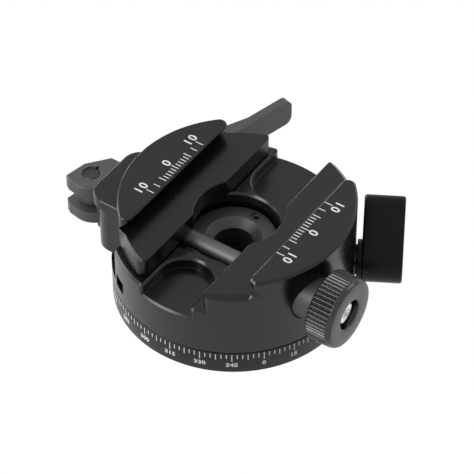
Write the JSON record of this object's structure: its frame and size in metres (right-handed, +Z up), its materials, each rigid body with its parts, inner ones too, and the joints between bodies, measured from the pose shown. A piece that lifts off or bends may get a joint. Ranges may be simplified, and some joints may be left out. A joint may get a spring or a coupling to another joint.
{
  "type": "panning clamp",
  "caption": "Turning clamp for a camera's dovetail plate: a round body with a fixed jaw, a lever-closed sliding jaw, an adjusting knob and a pan lock on a base with a degree scale.",
  "frame": {"origin": "on the pan axis, in the plane of the base's underside", "axes": "+Z up along the pan axis; +X along the clamp rod, from the release lever towards the knurled knob; +Y along the dovetail channel"},
  "size_m": [0.0778, 0.0737, 0.029],
  "materials": {
    "black_anodised": "satin black anodised",
    "dark_anodised": "satin dark grey anodised",
    "grey_anodised": "satin grey anodised",
    "stainless": "turned and polished",
    "spring_steel": "drawn wire",
    "brass": "turned",
    "acetal": "machined black acetal",
    "black_plastic": "moulded satin black"
  },
  "bodies": {
    "scale_base": {"base_plate": "black_anodised", "retaining_hub": "grey_anodised", "hub_set_screw": "stainless"},
    "turning_body": {"pan_body": "black_anodised", "glide_ring": "acetal", "thrust_washer": "brass", "guide_pins": "stainless", "jaw_springs": "spring_steel", "lock_bush": "brass", "lock_collar": "dark_anodised", "knob_collar": "dark_anodised"},
    "rod": {"clamp_rod": "stainless", "knob_screw": "stainless"},
    "lever": {"clamp_lever": "dark_anodised", "lever_pin": "stainless"},
    "jaw": {"moving_jaw": "black_anodised", "cam_pad": "acetal"},
    "knob": {"knurled_knob": "dark_anodised"},
    "lock": {"lock_lever": "black_plastic", "lock_stud": "stainless"},
    "shoe": {"brake_shoe": "brass"}
  },
  "joints": [
    {"name": "pan", "type": "hinge", "parent": "scale_base", "child": "turning_body", "pos_m": [0, 0, 0.0065], "axis": [0, 0, 1], "continuous": true},
    {"name": "knob_turn", "type": "hinge", "parent": "turning_body", "child": "knob", "pos_m": [0.0308, -0.008, 0.0183], "axis": [1, 0, 0], "range_deg": [-300, 300]},
    {"name": "rod_feed", "type": "slide", "parent": "turning_body", "child": "rod", "axis": [1, 0, 0], "range_m": [-0.00058, 0.00058]},
    {"name": "lever_swing", "type": "hinge", "parent": "rod", "child": "lever", "pos_m": [-0.0354, -0.008, 0.0183], "axis": [0, 0, 1], "range_deg": [0, 100]},
    {"name": "jaw_slide", "type": "slide", "parent": "rod", "child": "jaw", "axis": [-1, 0, 0], "range_m": [0, 0.000785], "deforming": ["jaw_springs"]},
    {"name": "lock_swing", "type": "hinge", "parent": "turning_body", "child": "lock", "pos_m": [0.02633, 0.0152, 0.0106], "axis": [0.866, 0.5, 0], "range_deg": [0, 90]},
    {"name": "shoe_slide", "type": "slide", "parent": "turning_body", "child": "shoe", "axis": [0.866, 0.5, 0], "range_m": [0, 0.000199]}
  ],
  "couplings": [
    {"joint": "knob_turn", "follows": "rod_feed", "rad_per_m": -8976},
    {"joint": "lever_swing", "follows": "jaw_slide", "rad_per_m": 2222.2},
    {"joint": "lock_swing", "follows": "shoe_slide", "rad_per_m": 7874}
  ]
}
